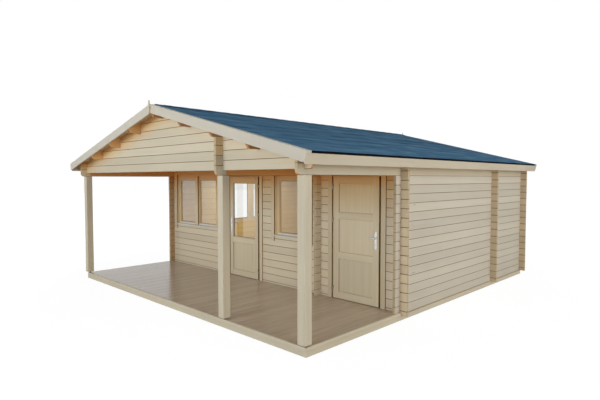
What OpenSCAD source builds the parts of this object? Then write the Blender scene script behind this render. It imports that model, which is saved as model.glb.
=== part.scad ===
// Log cabin with a covered veranda, a store room door and a glazed door
// Millimetres, +Z up. The origin is on the ground, under the middle of the roof.

/* [Logs] */
// Height of one wall log
log_h = 135; // [125:1:145]
// Thickness of the wall logs
log_t = 44; // [34:1:58]
// Depth of the V groove between two logs
groove = 5; // [2:1:8]
// Reach of the log ends past a crossing wall
log_end = 117; // [90:1:140]
// Courses of logs below the eave plates
courses = 15; // [14:1:16]
// Radius of the rounded corner under the free log ends
end_round = 60; // [20:1:80]

/* [House] */
// Length from the front wall to the rear wall, over the logs
house_l = 4756; // [4500:1:5400]
// Front wall's face to the cross wall behind the store room
store_l = 3188; // [2800:1:3500]

/* [Front wall] */
// Left wall to the double window's opening
corner_pier = 132; // [100:0.5:400]
// Double window's opening to the glazed doorway
window_pier = 373; // [180:0.5:500]
// Glazed doorway to the single window's opening
door_pier = 393; // [180:1:600]
// Single window's opening to the partition
partition_pier = 195; // [90:1:300]
// Partition to the store doorway
store_pier = 257.5; // [110:0.5:500]
// Store doorway to the right wall
right_pier = 276.5; // [110:0.5:600]

/* [Base] */
// Height of the base beams under the walls
base_h = 73; // [60:1:120]
// Width of the base beams
base_w = 95; // [80:1:120]
// Reach of the base past the walls and the veranda gable
base_out = 25; // [10:1:45]
// Setback of the base's rear beam from the rear wall's face
base_back = 22; // [0:1:30]
// Thickness of the floor
floor_t = 40; // [28:1:50]
// Distance between the joists
joist_pitch = 600; // [400:10:800]
// Width of a joist
joist_w = 70; // [45:1:100]

/* [Veranda] */
// Front wall's face to the line of posts
porch_depth = 1968; // [1600:1:2400]
// Side of the square posts
post_side = 120; // [90:1:150]
// Height of the metal foot under a post
foot_h = 25; // [14:1:40]
// Side of the upper plate of a post foot
foot_plate = 90; // [60:1:100]
// Side of the lower plate of a post foot
foot_base = 48; // [36:1:48]
// Thickness of the plates of a post foot
foot_plate_t = 4; // [3:1:4]
// Diameter of the stud in a post foot
foot_stud = 24; // [16:1:30]

/* [Roof] */
// Slope of the roof in degrees
pitch = 14.29; // [12:0.001:17]
// Height of the eave plates above the courses, at the outer face
plate_h = 292; // [250:1:320]
// Side wall to the edge of the eave
eave_over = 240; // [200:1:380]
// Veranda gable to the front of the barge boards
front_over = 230; // [170:1:300]
// Rear wall to the back of the barge boards
rear_over = 218; // [170:1:300]
// Height of the purlins
purlin_h = 172; // [150:1:200]
// Height of the slanted cut under the end of a purlin
purlin_cut_h = 62; // [40:1:80]
// Length of the slanted cut under the end of a purlin
purlin_cut_l = 48; // [30:1:80]
// Width of the purlins
purlin_w = 44; // [40:1:60]
// Thickness of the roof boards
roof_board_t = 19; // [16:1:25]
// Thickness of the roof covering
felt_t = 8; // [4:1:12]
// Height of the covering folded down over the eave
felt_fold = 25; // [12:1:40]
// Thickness of the fold
felt_fold_t = 4; // [2:1:6]
// Width of the barge boards
barge_w = 132; // [110:1:180]
// Width of the flat verge boards, over the barge boards
verge_w = 91; // [60:1:120]
// Thickness of barge boards and fascias
trim_t = 19; // [16:1:25]
// Width of the fascia boards
fascia_w = 151; // [120:1:180]

/* [Finials] */
// Height of a finial
finial_h = 199; // [150:1:260]
// Width of a finial
finial_w = 62; // [40:1:80]
// Thickness of a finial
finial_t = 22; // [16:1:30]
// Reach of the finial's tip above the ridge
finial_tip = 55; // [40:1:90]

/* [Windows] */
// Width of the wall opening of a double window
double_w = 1642; // [1500:1:1760]
// Width of the wall opening of the single window
single_w = 917; // [860:1:1000]
// Front wall's face to the middle of the side window
side_window_y = 2320; // [1600:1:2900]
// Height of the wall opening of a window
window_h = 1165; // [950:1:1300]
// Thickness of the lining in an opening
lining_t = 20; // [18:1:24]
// Width of the casing around a window
casing_w = 78; // [70:1:94]
// Reach of the casing's sides below the opening
casing_drop = 90; // [40:1:120]
// Thickness of the casings
casing_t = 18; // [14:1:24]
// Width of the fixed frame inside the lining
frame_w = 40; // [30:1:50]
// Width of the sash
sash_w = 78; // [60:1:90]
// Setback of the fixed frame behind the wall's face
frame_back = 12; // [8:1:16]
// Step from the fixed frame's face back to the sash's face
sash_step = 4; // [2:1:6]
// Height of the fixed frame below the sash
frame_foot = 18; // [16:1:26]
// Height of the sash below the glass
sash_foot = 28; // [22:1:40]
// Width of the mullion between two sashes
mullion_w = 104; // [90:1:120]
// Reach of the mullion in front of the wall
mullion_out = 16; // [8:1:18]
// Width of a sash beside the mullion
mid_stile = 43; // [35:1:60]
// Setback of the glass behind the wall's face
glass_back = 34; // [28:1:36]
// Thickness of the panes
pane_t = 6; // [4:1:8]
// Height of the metal sill at its front edge
sill_h = 18; // [14:1:22]
// Reach of the sill in front of the wall
sill_out = 30; // [24:1:50]
// Rise of the sill from its front edge to the frame
sill_rise = 10; // [4:1:12]
// Sill's lower edge above the foot of the opening
sill_low = 2; // [1:1:4]
// Thickness of the metal bar on the foot of a sash
bar_t = 6; // [3:1:9]

/* [Doors] */
// Width of the glazed door's leaf
glazed_w = 858; // [820:1:880]
// Width of the store door's leaf
store_w = 888; // [840:1:910]
// Thickness of a leaf
leaf_t = 40; // [36:1:46]
// Gap around a leaf
leaf_gap = 8; // [6:1:10]
// Thickness of the lining of a doorway
door_lining_t = 28; // [24:1:36]
// Setback of the lining behind the wall's face
lining_back = 12; // [6:1:16]
// Head of the door frame, above the leaf
head_h = 66.5; // [50:0.5:110]
// Reach of the stop behind the leaf's edge
stop_w = 15; // [8:1:18]
// Width of the casing around a door
door_casing_w = 80; // [70:1:100]
// Width of the glazed leaf's stiles
glazed_stile_w = 92; // [86:1:110]
// Width of the store leaf's stiles
store_stile_w = 112; // [90:1:130]
// Height of a leaf's top rail
top_rail = 115; // [90:1:130]
// Height of a leaf's bottom rail
bottom_rail = 112; // [100:1:180]
// Height of a leaf's middle rails
mid_rail = 103; // [80:1:120]
// Depth of the panels below the leaf's face
panel_depth = 14; // [8:1:15]
// Height of the glazed door's pane
door_pane_h = 1091; // [950:1:1130]
// Height of the store door's top panel
store_panel_h = 460; // [380:1:520]

/* [Hinges and handles] */
// Diameter of a hinge barrel
barrel_d = 14; // [10:1:18]
// Length of a hinge barrel
barrel_l = 75; // [60:1:100]
// Hinge axis in front of the leaf's face
hinge_out = 9; // [9:1:12]
// Gap between the two halves of a barrel
barrel_gap = 0.3; // [0.2:0.1:1]
// Reach of a hinge strap over the frame
strap_w = 42; // [40:1:54]
// Reach of a hinge strap over the leaf
leaf_strap_w = 12; // [10:1:30]
// Thickness of a hinge strap
strap_t = 3; // [2:1:4]
// Height of the end hinges from the leaf's ends
hinge_inset = 160; // [140:1:240]
// Upper hinge to the next one below it
hinge_drop = 540; // [300:1:800]
// Height of the lever's axis above the floor
lever_z = 1047; // [950:1:1080]
// Lever's axis to the leaf's edge
lever_in = 52; // [44:1:60]
// Width of the back plate
plate_w = 42; // [34:1:46]
// Height of the back plate
plate_len = 267; // [200:1:280]
// Thickness of the back plate
plate_t = 8; // [5:1:10]
// Back plate's top to the lever's axis
plate_top = 100; // [70:1:110]
// Diameter of the spindle
spindle_d = 10; // [8:1:12]
// Gap around the spindle
spindle_gap = 0.3; // [0.2:0.1:0.5]
// Diameter of the lever's neck
lever_d = 18; // [14:1:22]
// Step from the neck's diameter to the bar's
lever_step = 3; // [2:1:5]
// Reach of the lever's bar from the back plate
lever_out = 42; // [34:1:56]
// Length of the lever's bar
lever_len = 110; // [90:1:130]

/* [Hidden] */
$fn = 48;

// Colours of the finishes
wood_pale = [0.74, 0.70, 0.62];
wood_warm = [0.68, 0.60, 0.47];
deck_brown = [0.57, 0.51, 0.42];
felt_blue = [0.22, 0.34, 0.46];
metal_grey = [0.72, 0.73, 0.74];
sill_grey = [0.82, 0.83, 0.84];
pane_tint = [0.80, 0.86, 0.88, 0.4];

// Gap that keeps like pieces of one node apart
parting = 1;
// Gap between sloping faces that lie on each other
seat = 0.1;
// Extra length of cutting shapes
cut = 10;

// Levels
wall_bottom = base_h;
floor_top = base_h + floor_t;
plate_bottom = wall_bottom + courses * log_h;
head_level = plate_bottom + log_h / 2;
beam_top = plate_bottom + 2 * log_h;

// Plan across the house, added up along the front wall from the left wall's inner face
function doorway_w(leaf_w) = leaf_w + 2 * (leaf_gap + door_lining_t);
double_at = corner_pier + double_w / 2;
glazed_at = double_at + double_w / 2 + window_pier + doorway_w(glazed_w) / 2;
single_at = glazed_at + doorway_w(glazed_w) / 2 + door_pier + single_w / 2;
partition_at = single_at + single_w / 2 + partition_pier + log_t / 2;
store_at = partition_at + log_t / 2 + store_pier + doorway_w(store_w) / 2;
inner_x = (store_at + doorway_w(store_w) / 2 + right_pier) / 2;
half_w = inner_x + log_t;
double_x = double_at - inner_x;
glazed_x = glazed_at - inner_x;
single_x = single_at - inner_x;
partition_x = partition_at - inner_x;
store_x = store_at - inner_x;

// Plan along the house
front_y = (porch_depth + log_t / 2 + front_over - house_l - rear_over) / 2;
rear_y = front_y + house_l;
cross_y = front_y + store_l;
gable_y = front_y - porch_depth;
beam_y0 = gable_y - log_t / 2 - log_end;
base_x = half_w + base_out;
base_y0 = gable_y - base_out;
base_y1 = rear_y - base_back;

// Roof, measured along the slope from the ridge and square to it from the top of the covering
roof_depth = felt_t + roof_board_t;
ridge_z = plate_bottom + plate_h + half_w * tan(pitch) + roof_depth / cos(pitch);
slope_l = (half_w + eave_over) / cos(pitch);
roof_y0 = gable_y - log_t / 2 - front_over;
roof_y1 = rear_y + rear_over;
function roof_z(x, depth) = ridge_z - abs(x) * tan(pitch) - depth / cos(pitch);
function slope_point(s, depth) =
    [s * cos(pitch) - depth * sin(pitch), ridge_z - s * sin(pitch) - depth * cos(pitch)];
function mitre_point(depth) = slope_point((parting / 2 + depth * sin(pitch)) / cos(pitch), depth);
function purlin_bottom(x) = roof_z(x, roof_depth) - purlin_h;
purlin_pitch = partition_x / 2;
purlin_xs = [for (k = [-3:3]) k * purlin_pitch];

// Openings
front_sill_level = head_level - window_h;
side_sill_level = plate_bottom - window_h;
side_window_mid = front_y + side_window_y;
leaf_bottom = floor_top + leaf_gap;
leaf_top = head_level - head_h - leaf_gap;
leaf_h = leaf_top - leaf_bottom;
leaf_front = front_y - casing_t;
pane_z1 = leaf_top - top_rail;
pane_z0 = pane_z1 - door_pane_h;
hinge_y = leaf_front - hinge_out;
glazed_hinge_x = glazed_x + glazed_w / 2 + leaf_gap / 2;
store_hinge_x = store_x - store_w / 2 - leaf_gap / 2;
hinge_zs = [leaf_bottom + hinge_inset, leaf_top - hinge_inset - hinge_drop, leaf_top - hinge_inset];

// General shapes
module block(x0, x1, y0, y1, z0, z1) {
    translate([x0, y0, z0]) cube([x1 - x0, y1 - y0, z1 - z0]);
}

// Section of a stack of logs: thickness along X, height along Y, first joint counted from start
module log_section(z0, z1, start) {
    seams = [for (k = [1:40]) let (z = start + k * log_h) if (z > z0 + groove && z < z1 - groove) z];
    last = len(seams) - 1;
    outer = [for (z = seams) each [[0, z - groove], [groove, z], [0, z + groove]]];
    inner = [for (k = [0:1:last]) let (z = seams[last - k])
        each [[log_t, z + groove], [log_t - groove, z], [log_t, z - groove]]];
    polygon(concat([[0, z0]], outer, [[0, z1], [log_t, z1]], inner, [[log_t, z0]]));
}

// Logs that lie along X, offset by half a log
module logs_x(x0, x1, y, z0, z1) {
    translate([x0, y, 0]) rotate([90, 0, 90]) linear_extrude(x1 - x0)
        log_section(z0, z1, wall_bottom - log_h / 2);
}

// Logs that lie along Y
module logs_y(x, y0, y1, z0, z1) {
    translate([x, y1, 0]) rotate([90, 0, 0]) linear_extrude(y1 - y0)
        log_section(z0, z1, wall_bottom);
}

// What a rounded lower corner leaves out of a log end, drawn with the corner at the origin
module corner_waste() {
    difference() {
        translate([-cut, -cut]) square(end_round + cut);
        translate([end_round, end_round]) circle(end_round);
    }
}

// Rounded lower corner at the front end of a beam along Y
module front_corner(x) {
    translate([x - log_t, beam_y0, plate_bottom]) rotate([90, 0, 90])
        linear_extrude(2 * log_t) corner_waste();
}

// Shape drawn in X and Z, run along Y
module run_y(y0, y1) {
    translate([0, y1, 0]) rotate([90, 0, 0]) linear_extrude(y1 - y0) children();
}

// Everything below the roof boards
module under_roof() {
    reach = half_w + eave_over;
    low = roof_z(reach, roof_depth);
    run_y(roof_y0, roof_y1)
        polygon([[-reach, 0], [reach, 0], [reach, low], [0, roof_z(0, roof_depth)], [-reach, low]]);
}

module both_sides() {
    children();
    mirror([1, 0, 0]) children();
}

// Layer of the right-hand slope between two depths
module slope_layer(depth0, depth1, s_end, y0, y1) {
    run_y(y0, y1)
        polygon([mitre_point(depth0), slope_point(s_end, depth0),
            slope_point(s_end, depth1), mitre_point(depth1)]);
}

module purlin_spaces() {
    for (x = purlin_xs)
        block(x - purlin_w / 2, x + purlin_w / 2, roof_y0, roof_y1, purlin_bottom(x), ridge_z);
}

// Base
module base_frame() {
    inside = base_x - base_w;
    color(wood_pale) {
        for (x = [-base_x, inside])
            block(x, x + base_w, base_y0, base_y1, 0, base_h);
        for (y = [base_y0, base_y1 - base_w])
            block(-inside + parting, inside - parting, y, y + base_w, 0, base_h);
    }
}

module joist(y) {
    inside = base_x - base_w;
    block(-inside, inside, y - joist_w / 2, y + joist_w / 2, 0, base_h);
}

// A joist under each wall across the house, and even rows between them
module floor_joists() {
    lines = [base_y0 + base_w / 2, front_y + log_t / 2, cross_y + log_t / 2, base_y1 - base_w / 2];
    color(wood_pale)
        for (k = [0:2])
            let (span = lines[k + 1] - lines[k], bays = ceil(span / joist_pitch)) {
                if (k > 0) joist(lines[k]);
                for (n = [1:1:bays - 1])
                    joist(lines[k] + n * span / bays);
            }
}

module terrace_floor() {
    color(deck_brown)
        difference() {
            block(-base_x, base_x, base_y0, front_y, base_h, floor_top);
            for (x = [-half_w, partition_x - log_t / 2, inner_x])
                block(x, x + log_t, front_y - log_end, front_y + cut, base_h - cut, floor_top + cut);
        }
}

module room_floor() {
    color(wood_pale)
        difference() {
            block(-inner_x, inner_x, front_y + log_t, rear_y - log_t, base_h, floor_top);
            block(partition_x - log_t / 2, partition_x + log_t / 2, front_y, cross_y + log_t + log_end,
                base_h - cut, floor_top + cut);
            block(partition_x - log_t / 2 - log_end, half_w, cross_y, cross_y + log_t,
                base_h - cut, floor_top + cut);
        }
}

// Walls whose logs lie along Y
module right_wall() {
    color(wood_pale)
        logs_y(inner_x, front_y - log_end, rear_y + log_end, wall_bottom, plate_bottom);
}

module right_plate() {
    color(wood_pale)
        difference() {
            intersection() {
                logs_y(inner_x, beam_y0, rear_y + log_end, plate_bottom, ridge_z);
                under_roof();
            }
            front_corner(inner_x + log_t / 2);
        }
}

module left_wall() {
    color(wood_pale)
        difference() {
            logs_y(-half_w, front_y - log_end, rear_y + log_end, wall_bottom, plate_bottom);
            block(-half_w - cut, -inner_x + cut, side_window_mid - double_w / 2,
                side_window_mid + double_w / 2, side_sill_level, plate_bottom + cut);
        }
}

module left_plate() {
    color(wood_pale)
        difference() {
            intersection() {
                logs_y(-half_w, beam_y0, rear_y + log_end, plate_bottom, ridge_z);
                under_roof();
            }
            front_corner(log_t / 2 - half_w);
        }
}

module partition_wall() {
    color(wood_pale)
        logs_y(partition_x - log_t / 2, front_y - log_end, cross_y + log_t + log_end,
            wall_bottom, plate_bottom);
}

module middle_beam() {
    color(wood_pale)
        difference() {
            logs_y(partition_x - log_t / 2, beam_y0, cross_y + log_t + log_end, plate_bottom, beam_top);
            front_corner(partition_x);
        }
}

module partition_top() {
    color(wood_pale)
        logs_y(partition_x - log_t / 2, front_y - log_end, cross_y + log_t + log_end,
            beam_top, purlin_bottom(partition_x));
}

module gable_tie() {
    color(wood_pale)
        logs_y(partition_x - log_t / 2, beam_y0, gable_y + log_t / 2 + log_end,
            beam_top, purlin_bottom(partition_x));
}

// Walls whose logs lie along X
module rear_wall() {
    color(wood_pale)
        difference() {
            intersection() {
                logs_x(-inner_x, inner_x, rear_y - log_t, wall_bottom, ridge_z);
                under_roof();
            }
            purlin_spaces();
        }
}

module window_cut(x, w) {
    block(x - w / 2, x + w / 2, front_y - cut, front_y + log_t + cut, front_sill_level, head_level + cut);
}

module front_wall_left() {
    color(wood_pale)
        difference() {
            logs_x(-inner_x, glazed_x - doorway_w(glazed_w) / 2, front_y, wall_bottom, head_level);
            window_cut(double_x, double_w);
        }
}

module front_wall_middle() {
    color(wood_pale)
        difference() {
            logs_x(glazed_x + doorway_w(glazed_w) / 2, partition_x - log_t / 2, front_y,
                wall_bottom, head_level);
            window_cut(single_x, single_w);
        }
}

module front_wall_store() {
    color(wood_pale) {
        logs_x(partition_x + log_t / 2, store_x - doorway_w(store_w) / 2, front_y, wall_bottom, head_level);
        logs_x(store_x + doorway_w(store_w) / 2, inner_x, front_y, wall_bottom, head_level);
    }
}

// Gable of logs along X, parted by the logs of the partition's line
module gable(y) {
    difference() {
        intersection() {
            union() {
                logs_x(-inner_x, partition_x - log_t / 2, y, head_level, ridge_z);
                logs_x(partition_x + log_t / 2, inner_x, y, head_level, ridge_z);
            }
            under_roof();
        }
        purlin_spaces();
    }
}

module front_gable() {
    color(wood_pale) gable(front_y);
}

module veranda_gable() {
    color(wood_pale) gable(gable_y - log_t / 2);
}

module cross_wall() {
    color(wood_pale)
        difference() {
            intersection() {
                logs_x(partition_x + log_t / 2, inner_x, cross_y, wall_bottom, ridge_z);
                under_roof();
            }
            purlin_spaces();
        }
}

// Ends of the logs along X, outside the walls that they cross
module log_ends() {
    top = roof_z(half_w + log_end, roof_depth);
    color(wood_warm) {
        both_sides() {
            logs_x(half_w, half_w + log_end, front_y, wall_bottom, top);
            logs_x(half_w, half_w + log_end, rear_y - log_t, wall_bottom, top);
            difference() {
                logs_x(half_w, half_w + log_end, gable_y - log_t / 2, head_level, top);
                translate([half_w + log_end, gable_y + log_t, head_level]) rotate([90, 0, 0])
                    linear_extrude(2 * log_t) mirror([1, 0]) corner_waste();
            }
        }
        logs_x(half_w, half_w + log_end, cross_y, wall_bottom, top);
        logs_x(partition_x - log_t / 2 - log_end, partition_x - log_t / 2, cross_y, wall_bottom, beam_top);
    }
}

// Veranda posts
post_xs = [-half_w + log_t / 2, partition_x, half_w - log_t / 2];

module porch_posts() {
    color(wood_pale)
        for (x = post_xs)
            block(x - post_side / 2, x + post_side / 2, gable_y - post_side / 2, gable_y + post_side / 2,
                floor_top + foot_h, plate_bottom);
}

module post_feet() {
    color(metal_grey)
        for (x = post_xs)
            translate([x, gable_y, floor_top]) {
                translate([-foot_base / 2, -foot_base / 2, 0]) cube([foot_base, foot_base, foot_plate_t]);
                translate([-foot_plate / 2, -foot_plate / 2, foot_h - foot_plate_t])
                    cube([foot_plate, foot_plate, foot_plate_t]);
                cylinder(d = foot_stud, h = foot_h);
            }
}

// Roof
module purlin(x) {
    y0 = roof_y0 + trim_t;
    y1 = roof_y1 - trim_t;
    z = purlin_bottom(x);
    translate([x - purlin_w / 2, 0, 0]) rotate([90, 0, 90]) linear_extrude(purlin_w)
        polygon([[y0, z + purlin_cut_h], [y0 + purlin_cut_l, z], [y1 - purlin_cut_l, z],
            [y1, z + purlin_cut_h], [y1, ridge_z], [y0, ridge_z]]);
}

module purlins() {
    color(wood_pale)
        intersection() {
            for (x = purlin_xs)
                purlin(x);
            under_roof();
        }
}

module roof_boards() {
    color(wood_warm)
        both_sides()
            slope_layer(felt_t + seat, roof_depth - seat, slope_l - seat,
                roof_y0 + verge_w, roof_y1 - verge_w);
}

module roof_felt() {
    edge = slope_l + felt_fold_t;
    color(felt_blue)
        both_sides()
            run_y(roof_y0 + verge_w, roof_y1 - verge_w)
                polygon([mitre_point(0), slope_point(edge, 0), slope_point(edge, felt_fold),
                    slope_point(slope_l, felt_fold), slope_point(slope_l, felt_t), mitre_point(felt_t)]);
}

module fascias() {
    color(wood_pale)
        both_sides()
            run_y(roof_y0 + trim_t, roof_y1 - trim_t)
                polygon([slope_point(slope_l - trim_t, roof_depth), slope_point(slope_l - seat, roof_depth),
                    slope_point(slope_l - seat, fascia_w), slope_point(slope_l - trim_t, fascia_w)]);
}

// An upright board at each end of a slope, with a flat one behind its upper edge
module barge_boards() {
    color(wood_pale)
        both_sides() {
            for (y = [roof_y0, roof_y1 - trim_t])
                slope_layer(0, barge_w, slope_l, y, y + trim_t);
            for (y = [roof_y0 + trim_t + seat, roof_y1 - verge_w])
                slope_layer(0, roof_depth - seat, slope_l, y, y + verge_w - trim_t - seat);
        }
}

// Outline of a finial from its tip down: share of half its width, share of its height
finial_outline = [[0.12, 0.2], [0.3, 0.3], [0.75, 0.39], [1, 0.48], [0.92, 0.6], [0.64, 0.77], [0.42, 1]];

module finials() {
    tip_z = ridge_z + finial_tip;
    last = len(finial_outline) - 1;
    right = [for (share = finial_outline) [share[0] * finial_w / 2, tip_z - share[1] * finial_h]];
    left = [for (k = [0:last]) [-right[last - k][0], right[last - k][1]]];
    color(wood_warm)
        for (y = [roof_y0 - finial_t, roof_y1])
            run_y(y, y + finial_t) polygon(concat([[0, tip_z]], right, left));
}

// Upright ring with its middle at X = 0, from z0 to z1, with its own width of sides and height of foot
module ring(outer_w, z0, z1, side, foot, y0, y1) {
    difference() {
        block(-outer_w / 2, outer_w / 2, y0, y1, z0, z1);
        block(-outer_w / 2 + side, outer_w / 2 - side, y0 - cut, y1 + cut, z0 + foot, z1 - side);
    }
}

// Window in an opening w wide: wall's face at Y = 0, opening's foot at Z = 0
sash_back = frame_back + sash_step;

module window_frame(w, panes) {
    clear_w = w - 2 * lining_t;
    top = window_h - lining_t;
    ring(w, 0, window_h, lining_t, lining_t, 0, log_t);
    for (y = [-casing_t, log_t])
        difference() {
            block(-clear_w / 2 - casing_w, clear_w / 2 + casing_w, y, y + casing_t,
                -casing_drop, top + casing_w);
            block(-clear_w / 2, clear_w / 2, y - cut, y + casing_t + cut, -casing_drop - cut, top);
        }
    ring(clear_w, lining_t, top, frame_w, frame_foot, frame_back, log_t);
    ring(clear_w - 2 * frame_w, lining_t + frame_foot, top - frame_w, sash_w, sash_foot, sash_back, log_t);
    if (panes > 1) {
        half = mullion_w / 2;
        block(-half - mid_stile, half + mid_stile, sash_back, log_t, lining_t + frame_foot, top - frame_w);
        block(-half, half, -mullion_out, log_t, lining_t + frame_foot, top - frame_w);
    }
}

// Width between two panes, clear width of one pane and the middle of each pane
between_panes = mullion_w + 2 * mid_stile;
function pane_w(w, panes) = (w - 2 * (lining_t + frame_w + sash_w) - (panes - 1) * between_panes) / panes;
function pane_xs(w, panes) =
    [for (k = [0:panes - 1]) (k - (panes - 1) / 2) * (pane_w(w, panes) + between_panes)];

module window_pane(w, panes) {
    half = pane_w(w, panes) / 2;
    for (x = pane_xs(w, panes))
        block(x - half, x + half, glass_back, glass_back + pane_t,
            lining_t + frame_foot + sash_foot, window_h - lining_t - frame_w - sash_w);
}

// Sloped metal sill in front of the frame's foot, and a metal bar on the foot of each sash
module window_sill(w, panes) {
    half = w / 2 - lining_t - parting;
    bar_half = pane_w(w, panes) / 2 + mid_stile - 2 * bar_t;
    bar_z = lining_t + frame_foot + parting;
    translate([-half, 0, 0]) rotate([90, 0, 90]) linear_extrude(2 * half)
        polygon([[-sill_out, sill_low], [0, sill_low], [0, lining_t], [frame_back, lining_t],
            [frame_back, sill_low + sill_h + sill_rise], [-sill_out, sill_low + sill_h]]);
    for (x = pane_xs(w, panes))
        block(x - bar_half, x + bar_half, sash_back - bar_t, sash_back,
            bar_z, bar_z + sash_foot - 2 * parting);
}

module at_front_double() {
    translate([double_x, front_y, front_sill_level]) children();
}

module at_front_single() {
    translate([single_x, front_y, front_sill_level]) children();
}

module at_side() {
    translate([-half_w, side_window_mid, side_sill_level]) rotate([0, 0, -90]) children();
}

module front_double_window() {
    color(wood_warm) at_front_double() window_frame(double_w, 2);
}

module front_single_window() {
    color(wood_warm) at_front_single() window_frame(single_w, 1);
}

module side_window() {
    color(wood_warm) at_side() window_frame(double_w, 2);
}

module window_panes() {
    color(pane_tint) {
        at_front_double() window_pane(double_w, 2);
        at_front_single() window_pane(single_w, 1);
        at_side() window_pane(double_w, 2);
    }
}

module window_sills() {
    color(sill_grey) {
        at_front_double() window_sill(double_w, 2);
        at_front_single() window_sill(single_w, 1);
        at_side() window_sill(double_w, 2);
    }
}

// Doors
module door_frame(x, leaf_w) {
    clear = leaf_w / 2 + leaf_gap;
    outer = clear + door_lining_t;
    wall_back = front_y + log_t;
    lining_front = front_y + lining_back;
    stop_y = leaf_front + leaf_t + leaf_gap;
    clear_top = leaf_top + leaf_gap;
    casing_foot = clear_top + door_lining_t;
    casing_top = casing_foot + door_casing_w;
    translate([x, 0, 0]) {
        for (side = [0, 1])
            mirror([side, 0, 0]) {
                block(clear, outer, lining_front, wall_back, floor_top, head_level);
                block(clear - leaf_gap - stop_w, clear, stop_y, wall_back, floor_top, head_level);
                block(outer, outer + door_casing_w, leaf_front, front_y, floor_top, casing_top);
                block(clear, outer + door_casing_w, wall_back, wall_back + casing_t, floor_top, casing_top);
            }
        block(-clear, clear, lining_front, wall_back, clear_top, head_level);
        block(-clear, clear, stop_y, wall_back, clear_top - leaf_gap - stop_w, clear_top);
        block(-clear, clear, stop_y, wall_back, floor_top, leaf_bottom + stop_w);
        block(-outer + parting, outer - parting, front_y, wall_back, wall_bottom, floor_top);
        block(-outer, outer, leaf_front, front_y, casing_foot, casing_top);
        block(-clear, clear, wall_back, wall_back + casing_t, clear_top, casing_top);
    }
}

module glazed_door_frame() {
    color(wood_warm) door_frame(glazed_x, glazed_w);
}

module store_door_frame() {
    color(wood_warm) door_frame(store_x, store_w);
}

// Sunk panel on both faces of a leaf
module panel_recess(half, z0, z1) {
    for (y = [leaf_front - cut, leaf_front + leaf_t - panel_depth])
        block(-half, half, y, y + panel_depth + cut, z0, z1);
}

module lever_bore(x) {
    translate([x, leaf_front + leaf_t + plate_t + cut, lever_z + floor_top]) rotate([90, 0, 0])
        cylinder(d = spindle_d + 2 * spindle_gap, h = leaf_t + 2 * plate_t + 2 * cut);
}

glazed_lever_x = glazed_x - glazed_w / 2 + lever_in;
store_lever_x = store_x + store_w / 2 - lever_in;

module glazed_door_leaf() {
    half = glazed_w / 2 - glazed_stile_w;
    color(wood_pale)
        difference() {
            block(glazed_x - glazed_w / 2, glazed_x + glazed_w / 2, leaf_front, leaf_front + leaf_t,
                leaf_bottom, leaf_top);
            translate([glazed_x, 0, 0]) {
                block(-half, half, leaf_front - cut, leaf_front + leaf_t + cut, pane_z0, pane_z1);
                panel_recess(half, leaf_bottom + bottom_rail, pane_z0 - mid_rail);
            }
            lever_bore(glazed_lever_x);
        }
}

module glazed_door_pane() {
    half = glazed_w / 2 - glazed_stile_w;
    mid = leaf_front + leaf_t / 2;
    color(pane_tint)
        block(glazed_x - half, glazed_x + half, mid - pane_t / 2, mid + pane_t / 2, pane_z0, pane_z1);
}

module store_door_leaf() {
    half = store_w / 2 - store_stile_w;
    panel_z1 = leaf_top - top_rail;
    low_h = (leaf_h - top_rail - bottom_rail - store_panel_h - 2 * mid_rail) / 2;
    low_z = leaf_bottom + bottom_rail;
    color(wood_pale)
        difference() {
            block(store_x - store_w / 2, store_x + store_w / 2, leaf_front, leaf_front + leaf_t,
                leaf_bottom, leaf_top);
            translate([store_x, 0, 0]) {
                panel_recess(half, low_z, low_z + low_h);
                panel_recess(half, low_z + low_h + mid_rail, low_z + 2 * low_h + mid_rail);
                panel_recess(half, panel_z1 - store_panel_h, panel_z1);
            }
            lever_bore(store_lever_x);
        }
}

// Hinges: the lower half barrel and its strap on the frame, the upper ones on the leaf
module hinge_half(x, reach, z0, z1) {
    translate([x, hinge_y, z0]) cylinder(d = barrel_d, h = z1 - z0);
    x1 = x + reach;
    block(min(x, x1), max(x, x1), leaf_front - strap_t, leaf_front, z0, z1);
}

module frame_hinge_set(x, side) {
    for (z = hinge_zs)
        hinge_half(x, side * (leaf_gap / 2 + strap_w), z - barrel_l / 2, z - barrel_gap / 2);
}

module leaf_hinge_set(x, side) {
    for (z = hinge_zs)
        hinge_half(x, side * (leaf_gap / 2 + leaf_strap_w), z + barrel_gap / 2, z + barrel_l / 2);
}

module frame_hinges() {
    color(metal_grey) {
        frame_hinge_set(glazed_hinge_x, 1);
        frame_hinge_set(store_hinge_x, -1);
    }
}

module glazed_door_hinges() {
    color(metal_grey) leaf_hinge_set(glazed_hinge_x, -1);
}

module store_door_hinges() {
    color(metal_grey) leaf_hinge_set(store_hinge_x, 1);
}

// Back plates with round ends, one on each face of the leaf
module back_plates(x) {
    difference() {
        for (y = [leaf_front, leaf_front + leaf_t + plate_t])
            translate([x, y, lever_z + floor_top]) rotate([90, 0, 0]) linear_extrude(plate_t)
                for (z = [plate_top - plate_w / 2, plate_top - plate_len + plate_w / 2]) {
                    translate([0, z]) circle(d = plate_w);
                    translate([-plate_w / 2, plate_top - plate_len + plate_w / 2])
                        square([plate_w, plate_len - plate_w]);
                }
        lever_bore(x);
    }
}

module glazed_door_plates() {
    color(metal_grey) back_plates(glazed_lever_x);
}

module store_door_plates() {
    color(metal_grey) back_plates(store_lever_x);
}

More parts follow.
